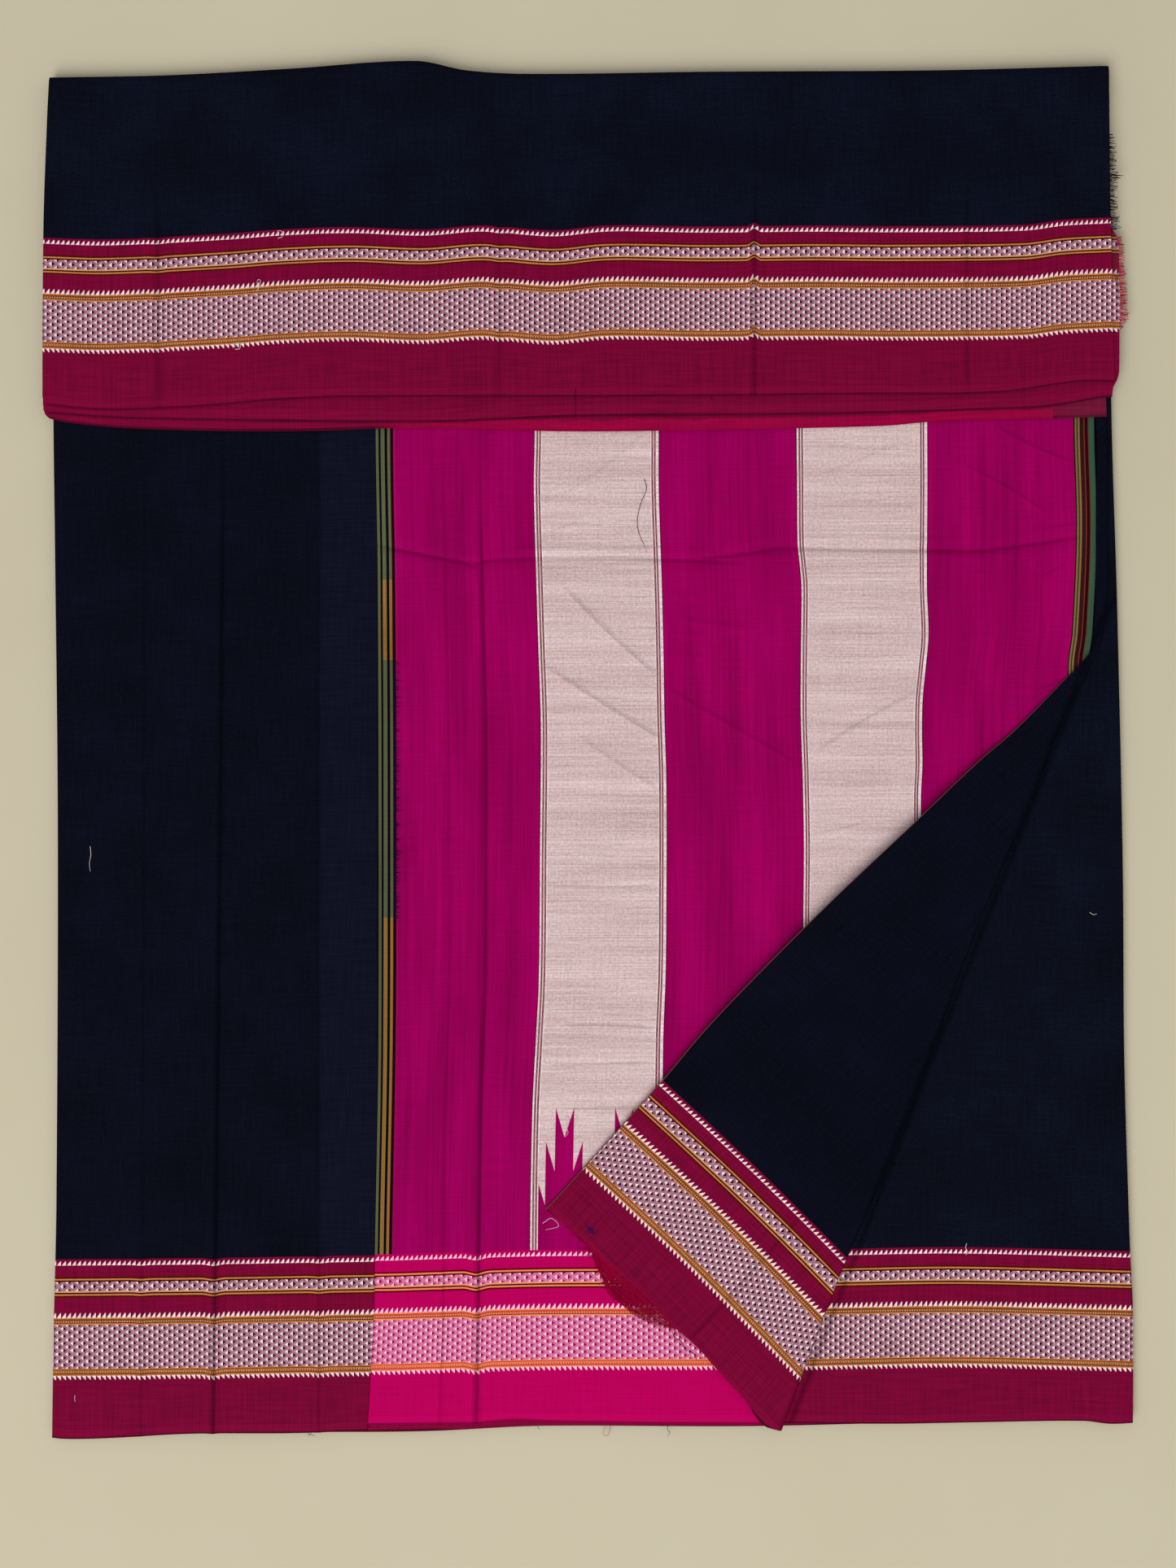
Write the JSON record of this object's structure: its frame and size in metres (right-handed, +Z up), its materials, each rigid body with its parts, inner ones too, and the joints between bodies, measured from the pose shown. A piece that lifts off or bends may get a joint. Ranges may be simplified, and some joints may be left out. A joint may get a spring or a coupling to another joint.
{
  "type": "saree",
  "caption": "Folded silk and cotton saree laid flat, its upper part turned down and one corner turned back over the striped end panel.",
  "frame": {"origin": "middle of the pack's outline, on the surface that it lies on", "axes": "+X across the folded width to the right, +Y from the lower hems up to the turned edge, +Z up off the surface"},
  "size_m": [0.7575, 0.9578, 0.0137],
  "materials": {
    "field_cloth": "dark navy plain weave, matt with a slight sheen",
    "border_cloth": "maroon weave with white and gold extra-weft bands",
    "pallu_cloth": "magenta silk with pale panels, soft sheen"
  },
  "bodies": {
    "root": {"stack": "field_cloth", "body_left": "field_cloth", "pallu": "pallu_cloth", "body_right": "field_cloth", "flap": "field_cloth", "band_1": "border_cloth", "band_2": "border_cloth", "band_3": "border_cloth", "fringe_field": "field_cloth", "fringe_border": "border_cloth", "fringe_flap": "border_cloth"}
  },
  "joints": []
}
